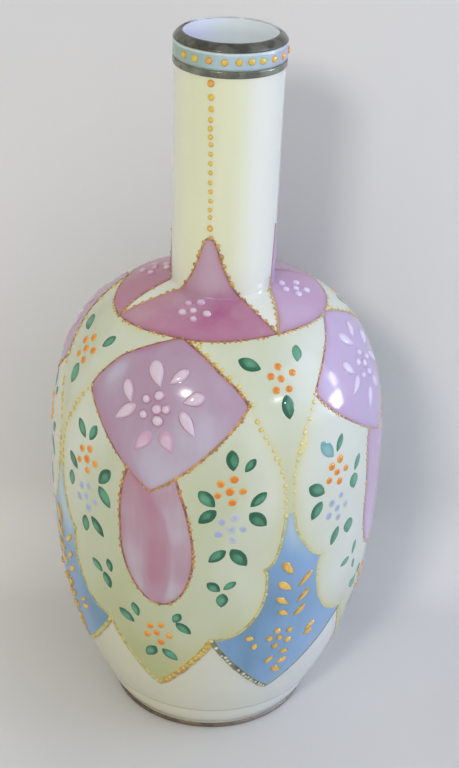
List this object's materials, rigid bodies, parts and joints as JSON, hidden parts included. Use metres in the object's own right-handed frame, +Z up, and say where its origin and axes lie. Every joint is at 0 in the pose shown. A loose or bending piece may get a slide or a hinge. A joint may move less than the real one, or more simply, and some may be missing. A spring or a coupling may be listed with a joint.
{
  "type": "bud vase",
  "caption": "Free-standing bud vase of opal glass with a narrow open neck, an egg-shaped body, a short foot and enamelled fields with gilt bands.",
  "frame": {"origin": "centre of the foot ring on the surface that the vase stands on", "axes": "+Z up along the axis of the vase; the first diamond and oval face -Y, and the ornament repeats every quarter turn"},
  "size_m": [0.0968, 0.0968, 0.205],
  "materials": {
    "opal_glass": "fire-polished opal, opaque white with a cream wash above the hem",
    "aged_gilding": "fired gilding gone dark and dull with age",
    "collar_blue_enamel": "glossy fired enamel, pale grey-blue",
    "mauve_enamel": "glossy fired enamel, mauve with brush streaks",
    "lilac_enamel": "glossy fired enamel, grey lilac shaded to rose",
    "rose_enamel": "glossy fired enamel, rose with brush streaks",
    "cream_enamel": "smooth fired enamel wash, pale yellow-green",
    "blue_enamel": "glossy fired enamel, powder blue",
    "raised_white_enamel": "raised white enamel, rosy at its edges",
    "leaf_green_enamel": "glossy fired enamel, leaf green with darker edges",
    "orange_enamel": "raised enamel dots, orange",
    "periwinkle_enamel": "soft enamel dots, pale periwinkle blue",
    "raised_gold": "raised paste gilded yellow-gold, satin"
  },
  "bodies": {
    "root": {"glass_body": "opal_glass", "rim_gilding": "aged_gilding", "collar_enamel": "collar_blue_enamel", "collar_lower_gilding": "aged_gilding", "foot_gilding": "aged_gilding", "mantle_lobe_1": "mauve_enamel", "mantle_lobe_2": "mauve_enamel", "mantle_lobe_3": "mauve_enamel", "mantle_lobe_4": "mauve_enamel", "diamond_field_1": "lilac_enamel", "diamond_field_2": "lilac_enamel", "diamond_field_3": "lilac_enamel", "diamond_field_4": "lilac_enamel", "oval_field_1": "rose_enamel", "oval_field_2": "rose_enamel", "oval_field_3": "rose_enamel", "oval_field_4": "rose_enamel", "apron_field_1": "cream_enamel", "apron_field_2": "cream_enamel", "apron_field_3": "cream_enamel", "apron_field_4": "cream_enamel", "yoke_field_1": "cream_enamel", "yoke_field_2": "cream_enamel", "yoke_field_3": "cream_enamel", "yoke_field_4": "cream_enamel", "blue_field_1": "blue_enamel", "blue_field_2": "blue_enamel", "blue_field_3": "blue_enamel", "blue_field_4": "blue_enamel"}
  },
  "joints": []
}
